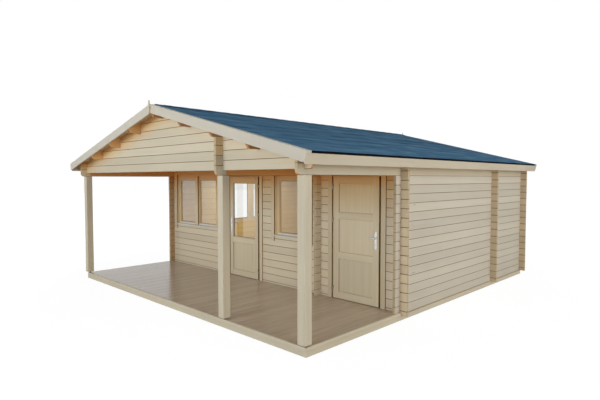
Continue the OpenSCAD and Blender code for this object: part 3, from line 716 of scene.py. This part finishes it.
def slope_frame(side):
    """Frame of a roof slope: down the slope from the ridge, along the house, out of the covering"""
    c, s = math.cos(ROOF_PITCH), math.sin(ROOF_PITCH)
    right = Matrix(((c, 0, s, 0), (0, 1, 0, 0), (-s, 0, c, ridge_z), (0, 0, 0, 1)))
    return right if side > 0 else Matrix.Rotation(math.pi, 4, "Z") @ right


# Veranda floor
DECK_BOARD_W = 0.119
DECK_GAP = 0.003
DECK_BOARD_T = 0.028
DECK_EDGE_T = 0.020
DECK_ROUND = 0.0025
DECK_EDGE_ROUND = 0.003
NOTCH_GAP = 0.002


def veranda_floor():
    """Boards along the house inside an edge board, cut out around the log ends"""
    boards = new_boards()
    left, right = floor_lo.x + DECK_EDGE_T, floor_hi.x - DECK_EDGE_T
    count = round((right - left) / (DECK_BOARD_W + DECK_GAP))
    pitch = (right - left) / count
    top, under = floor_hi.z, floor_hi.z - DECK_BOARD_T
    start = floor_lo.y + DECK_EDGE_T
    notch_y = side_lo.y - NOTCH_GAP
    ends = [(-side_hi.x, -side_lo.x), (partition_lo.x, partition_hi.x), (side_lo.x, side_hi.x)]
    notches = [(a - NOTCH_GAP, b + NOTCH_GAP) for a, b in ends]
    for k in range(count):
        x0 = left + k * pitch
        x1 = x0 + pitch - DECK_GAP
        tone = draw.random()
        cuts = [(a, b) for a, b in notches if a < x1 and b > x0]
        end = notch_y if cuts else front_y
        add_block(boards, (x0, start, under), (x1, end, top), tone=tone)
        for a, b in cuts:
            for p, q in ((x0, a), (b, x1)):
                if q - p > DECK_GAP:
                    add_block(boards, (p, end, under), (q, front_y, top), tone=tone)
    round_edges(boards, DECK_ROUND, 1)
    new_piece("deck_boards", boards, deck_stain, replaces=("terrace_floor",))
    edges = new_boards()
    add_block(edges, floor_lo, (floor_hi.x, start, top))
    for x in (floor_lo.x, right):
        add_block(edges, (x, start, floor_lo.z), (x + DECK_EDGE_T, front_y, top))
    round_edges(edges, DECK_EDGE_ROUND)
    new_piece("deck_edge_boards", edges, beam_wood)


# Veranda posts
POST_CHAMFER = 0.006


def veranda_posts():
    """Squared posts with planed corners"""
    posts = new_boards()
    for low, high in solid_boxes("porch_posts"):
        add_block(posts, low, high)
    round_edges(posts, POST_CHAMFER)
    new_piece("squared_posts", posts, upright_wood, replaces=("porch_posts",))


# Roof
CEILING_BOARD_W = 0.096
CEILING_CHAMFER = 0.003
CEILING_CLEAR = 0.0005
FASCIA_JOINT_Y = 2.98
FASCIA_JOINT = 0.002
FASCIA_INSET = 0.0001
FASCIA_ROUND = 0.002
SHINGLE_SHOWN = 0.145
SHINGLE_LAP = 0.030
SHINGLE_OUT = 0.004
SHINGLE_HEAD = 0.004
SHINGLE_T = 0.003
SHINGLE_LIFT = 0.0045
TAB_W = 0.333
TAB_SLOT = 0.006
RIDGE_CAP_W = 0.150
RIDGE_CAP_LIFT = 0.009
RIDGE_CAP_STEP = 0.002
RIDGE_CAP_LAP = 0.001
DRIP_T = 0.003


def roof_boarding():
    """Boards down both slopes, seen from below over the veranda and at the eaves"""
    boards = new_boards()
    board_lo, board_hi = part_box("roof_boards")
    count = round((board_hi.y - board_lo.y) / CEILING_BOARD_W)
    pitch = (board_hi.y - board_lo.y) / count
    depth = FELT_T + ROOF_BOARD_T
    ridge_gap = depth * math.tan(ROOF_PITCH)
    for side in (1, -1):
        for k in range(count):
            y = board_lo.y + k * pitch
            add_block(boards, (ridge_gap, y, -depth), (slope_l, y + pitch, -FELT_T - CEILING_CLEAR),
                      slope_frame(side))
    round_edges(boards, CEILING_CHAMFER, 1)
    new_piece("ceiling_boards", boards, ceiling_wood, replaces=("roof_boards",))


def fascia_boards():
    """Boards at the eaves, in two lengths on each side"""
    boards = new_boards()
    low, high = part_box("fascias")
    for side in (1, -1):
        ends = [low.y, FASCIA_JOINT_Y, high.y]
        for y0, y1 in zip(ends, ends[1:]):
            y0, y1 = sorted((side * (y0 + FASCIA_JOINT / 2), side * (y1 - FASCIA_JOINT / 2)))
            add_block(boards, (slope_l - TRIM_T, y0, -FASCIA_W),
                      (slope_l - FASCIA_INSET, y1, -FELT_T - ROOF_BOARD_T), slope_frame(side))
    round_edges(boards, FASCIA_ROUND)
    new_piece("eave_boards", boards, eave_wood, replaces=("fascias",))


def shingles():
    """Courses of tabs laid from the eave to the ridge, then the ridge caps"""
    tabs = new_boards()
    rows = math.ceil(slope_l / SHINGLE_SHOWN)
    tilt = -math.atan(SHINGLE_LIFT / (SHINGLE_SHOWN + SHINGLE_LAP))
    for side in (1, -1):
        for row in range(rows):
            butt = slope_l + SHINGLE_OUT - row * SHINGLE_SHOWN
            head = max(butt - SHINGLE_SHOWN - SHINGLE_LAP, SHINGLE_HEAD)
            row_tone = draw.random()
            y = felt_lo.y - TAB_W * (0.5 if row % 2 else 0.0)
            while y < felt_hi.y:
                y0, y1 = max(y, felt_lo.y), min(y + TAB_W - TAB_SLOT, felt_hi.y)
                if y1 - y0 > TAB_SLOT:
                    add_block(tabs, (head, y0, 0.0), (butt, y1, SHINGLE_T), slope_frame(side), tilt,
                              0.5 * row_tone + 0.5 * draw.random())
                y += TAB_W
    new_piece("roof_shingles", tabs, shingle)
    caps = new_boards()
    count = math.ceil((felt_hi.y - felt_lo.y) / SHINGLE_SHOWN)
    pitch = (felt_hi.y - felt_lo.y) / count
    for k in range(count):
        tone = draw.random()
        for side in (1, -1):
            y = felt_lo.y + k * pitch
            lift = RIDGE_CAP_LIFT + RIDGE_CAP_STEP * (k % 2)
            low, high = sorted((side * y, side * (y + pitch)))
            add_block(caps, (-RIDGE_CAP_LAP, low, lift), (RIDGE_CAP_W, high, lift + SHINGLE_T),
                      slope_frame(side), tone=tone)
    new_piece("ridge_caps", caps, shingle)


def drip_edges():
    """Felt turned down over the ends of the roof boards at both eaves"""
    edges = new_boards()
    for side in (1, -1):
        low, high = sorted((side * felt_lo.y, side * felt_hi.y))
        add_block(edges, (slope_l, low, -FELT_T - ROOF_BOARD_T), (slope_l + DRIP_T, high, 0),
                  slope_frame(side), tone=0.5)
    round_edges(edges, DRIP_T / 4, 1)
    new_piece("drip_edges", edges, felt_black)


# Windows and doors
BEAD = [(0.0, 0.0), (0.014, 0.0), (0.013, 0.004), (0.009, 0.008), (0.0, 0.010)]
GASKET = [(0.014, 0.0), (0.018, 0.0), (0.018, 0.002), (0.014, 0.002)]
MOULDING = [(0.0, 0.0), (0.006, 0.0), (0.005, 0.002), (0.003, 0.0035), (0.0, 0.004)]
BOARD_EDGE = 0.0015


def add_frame(shape, place, x, y, z, sides, head, foot):
    """Two uprights with a head and a foot between them, between pairs of x, y and z"""
    left, right = sides
    add_block(shape, (x[0], y[0], z[0]), (x[0] + left, y[1], z[1]), place)
    add_block(shape, (x[1] - right, y[0], z[0]), (x[1], y[1], z[1]), place)
    for z0, z1 in ((z[1] - head, z[1]), (z[0], z[0] + foot)):
        if z1 > z0:
            add_block(shape, (x[0] + left, y[0], z0), (x[1] - right, y[1], z1), place, lay=1.0)


def window_boards(node, panes, on_side=False):
    """Lining, casings on both faces, fixed frame, sashes and mullion of a window in the front or left wall"""
    low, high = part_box(node)
    middle = (low + high) / 2
    if on_side:
        width, turn, wood = high.y - low.y, -math.pi / 2, side_joinery
        place = Matrix.Translation((low.x + CASING_T, middle.y, low.z + CASING_DROP))
    else:
        width, turn, wood = high.x - low.x, 0.0, joinery_wood
        place = Matrix.Translation((middle.x, low.y + CASING_T, low.z + CASING_DROP))
    place = place @ Matrix.Rotation(turn, 4, "Z")
    clear = width / 2 - CASING_W
    top = high.z - low.z - CASING_DROP - CASING_W
    boards = new_boards()
    add_frame(boards, place, (-clear - LINING_T, clear + LINING_T), (0, log_t), (0, top + LINING_T),
              (LINING_T, LINING_T), LINING_T, LINING_T)
    for y in (-CASING_T, log_t):
        add_frame(boards, place, (-clear - CASING_W, clear + CASING_W), (y, y + CASING_T),
                  (-CASING_DROP, top + CASING_W), (CASING_W, CASING_W), CASING_W, 0)
    add_frame(boards, place, (-clear, clear), (FRAME_BACK, log_t), (LINING_T, top),
              (FRAME_W, FRAME_W), FRAME_W, FRAME_FOOT)
    reach = clear - FRAME_W
    foot, head = LINING_T + FRAME_FOOT, top - FRAME_W
    inner = MULLION_W / 2
    sashes = [((-reach, -inner), (SASH_W, MID_STILE)), ((inner, reach), (MID_STILE, SASH_W))]
    if panes == 1:
        sashes = [((-reach, reach), (SASH_W, SASH_W))]
    for x, stiles in sashes:
        add_frame(boards, place, x, (SASH_BACK, log_t), (foot, head), stiles, SASH_W, SASH_FOOT)
    if panes == 2:
        add_block(boards, (-inner, -MULLION_OUT, foot), (inner, log_t, head), place)
    round_edges(boards, BOARD_EDGE)
    new_piece(node + "_boards", boards, wood, replaces=(node,))


def door_frame_boards(node, leaf):
    """Lining, stops, threshold and casings around a door"""
    low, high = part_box(leaf)
    place = Matrix.Translation(((low.x + high.x) / 2, 0, 0))
    clear = (high.x - low.x) / 2 + LEAF_GAP
    jamb = clear + DOOR_LINING_T
    lining_y, back_y = front_y + DOOR_LINING_BACK, front_y + log_t
    stop_y = high.y + LEAF_GAP
    floor_z, head_z = floor_hi.z, gable_lo.z
    clear_z = high.z + LEAF_GAP
    boards = new_boards()
    add_frame(boards, place, (-jamb, jamb), (lining_y, back_y), (floor_z, head_z),
              (DOOR_LINING_T, DOOR_LINING_T), head_z - clear_z, 0)
    stop = LEAF_GAP + STOP_W
    add_frame(boards, place, (-clear, clear), (stop_y, back_y), (floor_z, clear_z), (stop, stop), stop, stop)
    sill = jamb - THRESHOLD_GAP
    add_block(boards, (-sill, front_y, floor_lo.z), (sill, back_y, floor_z), place, lay=1.0)
    outer = jamb + DOOR_CASING_W
    casing_z = (floor_z, clear_z + DOOR_LINING_T + DOOR_CASING_W)
    add_frame(boards, place, (-outer, outer), (low.y, front_y), casing_z,
              (DOOR_CASING_W, DOOR_CASING_W), DOOR_CASING_W, 0)
    inner_w = outer - clear
    add_frame(boards, place, (-outer, outer), (back_y, back_y + CASING_T), casing_z,
              (inner_w, inner_w), casing_z[1] - clear_z, 0)
    round_edges(boards, BOARD_EDGE)
    new_piece(node + "_boards", boards, joinery_wood, replaces=(node,))


def add_bored_stile(shape, low, high, bore_x, bore_z):
    """An upright board with a round bore from face to face"""
    before = set(shape.faces)
    turned = Matrix.Translation((bore_x, low.y, bore_z)) @ Matrix.Rotation(math.pi / 2, 4, "X")
    rim = bmesh.ops.create_circle(shape, cap_ends=False, segments=24, radius=LEVER_BORE,
                                  matrix=turned)["verts"]
    corners = [shape.verts.new((x, low.y, z)) for x, z in (
        (low.x, low.z), (high.x, low.z), (high.x, high.z), (low.x, high.z))]
    outline = list({e for v in rim for e in v.link_edges})
    outline += [shape.edges.new((corners[k - 1], corners[k])) for k in range(4)]
    filled = bmesh.ops.triangle_fill(shape, use_beauty=True, edges=outline)["geom"]
    sheet = [f for f in filled if isinstance(f, bmesh.types.BMFace)]
    grown = bmesh.ops.extrude_face_region(shape, geom=sheet, use_keep_orig=True)["geom"]
    bmesh.ops.translate(shape, verts=[v for v in grown if isinstance(v, bmesh.types.BMVert)],
                        vec=(0, high.y - low.y, 0))
    made = [f for f in shape.faces if f not in before]
    bmesh.ops.recalc_face_normals(shape, faces=made)
    mark(shape, made, draw.random(), 0.0)


def door_leaf(body):
    """Stiles, rails, sunk panels and their mouldings; the lock stile is bored for the lever"""
    leaf = body + "_leaf"
    low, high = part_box(leaf)
    stile = STILE_W[body]
    foot, head = low.z + BOTTOM_RAIL, high.z - TOP_RAIL
    if body == "store_door":
        panel_h = (head - foot - STORE_PANEL_H - 2 * MID_RAIL) / 2
        panels = [(foot, foot + panel_h), (foot + panel_h + MID_RAIL, foot + 2 * panel_h + MID_RAIL),
                  (head - STORE_PANEL_H, head)]
        rails = [(low.z, foot), (foot + panel_h, foot + panel_h + MID_RAIL),
                 (head - STORE_PANEL_H - MID_RAIL, head - STORE_PANEL_H), (head, high.z)]
    else:
        pane_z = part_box("glazed_door_pane")[0].z
        panels = [(foot, pane_z - MID_RAIL)]
        rails = [(low.z, foot), (pane_z - MID_RAIL, pane_z), (head, high.z)]
    lever_lo, lever_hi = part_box(body + "_plates")
    lever_x = (lever_lo.x + lever_hi.x) / 2
    neck_lo, neck_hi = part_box(body + "_lever")
    on_left = lever_x < (low.x + high.x) / 2
    lock = [Vector(low), Vector((low.x + stile, high.y, high.z))]
    hung = [Vector((high.x - stile, low.y, low.z)), Vector(high)]
    if not on_left:
        lock, hung = hung, lock
    boards = new_boards()
    add_block(boards, *hung)
    for z0, z1 in rails:
        add_block(boards, (low.x + stile, low.y, z0), (high.x - stile, high.y, z1), lay=1.0)
    round_edges(boards, BOARD_EDGE)
    add_bored_stile(boards, lock[0], lock[1], lever_x, (neck_lo.z + neck_hi.z) / 2)
    for z0, z1 in panels:
        add_block(boards, (low.x + stile, low.y + PANEL_DEPTH, z0),
                  (high.x - stile, high.y - PANEL_DEPTH, z1))
    new_piece(body + "_boards", boards, leaf_wood, body, replaces=(leaf,))
    strips = new_boards()
    for z0, z1 in panels:
        for y, outward in ((low.y + PANEL_DEPTH, (0, -1, 0)), (high.y - PANEL_DEPTH, (0, 1, 0))):
            add_ring(strips, (low.x + stile, y, z0), (high.x - stile, y, z1), outward, MOULDING)
    new_piece(body + "_mouldings", strips, leaf_wood, body)


LOCK_DROP = 0.092
LOCK_R = 0.0085
LOCK_OUT = 0.004
KEY_SLOT = (0.0012, 0.0040)
KEY_SUNK, KEY_PROUD = 0.001, 0.0003


def door_lock(body):
    """Round lock cylinders under the lever on both plates, each with a key slot"""
    low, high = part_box(body + "_plates")
    neck_lo, neck_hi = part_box(body + "_lever")
    x, z = (low.x + high.x) / 2, (neck_lo.z + neck_hi.z) / 2 - LOCK_DROP
    barrels, slots = new_boards(), new_boards()
    for y, out in ((low.y, -1), (high.y, 1)):
        place = Matrix.Translation((x, y + out * LOCK_OUT / 2, z)) @ Matrix.Rotation(math.pi / 2, 4, "X")
        bmesh.ops.create_cone(barrels, cap_ends=True, segments=32, radius1=LOCK_R, radius2=LOCK_R,
                              depth=LOCK_OUT, matrix=place)
        face = y + out * LOCK_OUT
        y0, y1 = sorted((face - out * KEY_SUNK, face + out * KEY_PROUD))
        add_block(slots, (x - KEY_SLOT[0], y0, z - KEY_SLOT[1]), (x + KEY_SLOT[0], y1, z + KEY_SLOT[1]))
    new_piece(body + "_lock", barrels, steel, body)
    new_piece(body + "_key_slots", slots, key_dark, body)


def glazing():
    """Beads and rubber around every pane, on the outer face"""
    for name, profile, finish, slot in (("glazing_beads", BEAD, joinery_wood, "joinery_wood"),
                                        ("glazing_rubbers", GASKET, rubber, "felt")):
        strips = new_boards()
        for low, high in solid_boxes("window_panes"):
            on_side = high.x - low.x < high.y - low.y
            outward = (-1, 0, 0) if on_side else (0, -1, 0)
            add_ring(strips, low, high, outward, profile)
        new_piece(name, strips, finish)
        strips = new_boards()
        low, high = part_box("glazed_door_pane")
        add_ring(strips, low, high, (0, -1, 0), profile)
        add_ring(strips, (low.x, high.y, low.z), (high.x, high.y, high.z), (0, 1, 0), profile)
        new_piece(name.replace("glazing", "door"), strips, finish, "glazed_door")


veranda_floor()
veranda_posts()
roof_boarding()
fascia_boards()
shingles()
drip_edges()
window_boards("front_double_window", panes=2)
window_boards("front_single_window", panes=1)
window_boards("side_window", panes=2, on_side=True)
glazing()
for door in ("glazed_door", "store_door"):
    door_frame_boards(door + "_frame", door + "_leaf")
    door_leaf(door)
    door_lock(door)


# Studio: a pale floor, an even white sky and wide soft lamps
SKY_LEVEL = 0.09
COOL = (0.87, 0.95, 1.0)
ROOM_WARM = (1.0, 0.95, 0.80)
RIGHT_WHITE = (0.97, 1.0, 0.99)
FLOOR_GLOW = 1.09
FLOOR_NEAR, FLOOR_FAR = 5.0, 9.0
FLOOR_WHITE = 0.86
FLOOR_GREY = (0.86, 0.86, 0.86)
FLOOR_HALF = 60
WHITE = (1, 1, 1)


def seen_directly(finish):
    """1 for what the camera, a mirror or a pane looks at, 0 for what only lights the cabin"""
    camera, glossy, through = (finish.node("ShaderNodeLightPath", out=name) for name in (
        "Is Camera Ray", "Is Glossy Ray", "Is Transmission Ray"))
    return camera.most(glossy).most(through)


def studio():
    """The world and the floor, both white where they are looked at"""
    world = bpy.data.worlds.new("studio")
    bpy.context.scene.world = world
    sky = Finish("studio", world)
    light = sky.node("ShaderNodeBackground", links={"Color": COOL, "Strength": SKY_LEVEL})
    white = sky.node("ShaderNodeBackground", links={"Color": WHITE, "Strength": 1.0})
    sky.close(sky.node("ShaderNodeMixShader", links={0: seen_directly(sky), 1: light, 2: white}),
              "ShaderNodeOutputWorld")
    ground = Finish("studio floor")
    matt = ground.node("ShaderNodeBsdfDiffuse", links={"Color": FLOOR_GREY})
    glow = ground.node("ShaderNodeEmission", links={"Color": WHITE, "Strength": FLOOR_GLOW})
    x, y, _ = ground.axes(ground.place())
    away = ((((x * x + y * y) ** 0.5) - FLOOR_NEAR) / (FLOOR_FAR - FLOOR_NEAR)).clamped()
    white = seen_directly(ground) * (FLOOR_WHITE + away * (1 - FLOOR_WHITE))
    ground.close(ground.node("ShaderNodeMixShader", links={0: white, 1: matt, 2: glow}))
    shape = bmesh.new()
    bmesh.ops.create_grid(shape, x_segments=1, y_segments=1, size=FLOOR_HALF)
    mesh = bpy.data.meshes.new("studio_floor")
    shape.to_mesh(mesh)
    shape.free()
    mesh.materials.append(ground.owner)
    floor = bpy.data.objects.new("studio_floor", mesh)
    bpy.context.scene.collection.objects.link(floor)


def lamp(name, place, target, width, height, power, colour):
    """A wide soft lamp that looks at a target and isn't seen itself"""
    data = bpy.data.lights.new(name, "AREA")
    data.shape = "RECTANGLE"
    data.size, data.size_y = width, height
    data.energy = power
    data.color = colour
    made = bpy.data.objects.new(name, data)
    made.location = place
    made.rotation_euler = (Vector(target) - Vector(place)).to_track_quat("-Z", "Y").to_euler()
    made.visible_camera = False
    made.visible_glossy = False
    bpy.context.scene.collection.objects.link(made)


studio()
lamp("front_lamp", (0.5, -15.0, 3.4), (0, -2.0, 1.2), 10, 6, 1090, COOL)
lamp("right_lamp", (16.0, -1.0, 2.8), (3.0, 0, 1.2), 10, 5, 700, RIGHT_WHITE)
lamp("right_high_lamp", (14.0, -1.0, 8.5), (3.0, 0, 1.2), 10, 6, 350, RIGHT_WHITE)
lamp("right_rear_lamp", (15.0, 7.0, 6.0), (3.0, 1.0, 1.2), 10, 6, 220, COOL)
lamp("left_lamp", (-16.0, -3.0, 4.0), (0, -2.0, 1.2), 10, 6, 720, COOL)
lamp("rear_lamp", (-6.0, 15.0, 5.0), (0, 3.0, 1.2), 10, 6, 810, COOL)
lamp("room_lamp", (-1.5, 0.8, 2.3), (-1.5, 0.8, 0), 2.4, 2.4, 57, ROOM_WARM)
bpy.context.scene.view_settings.view_transform = "Standard"
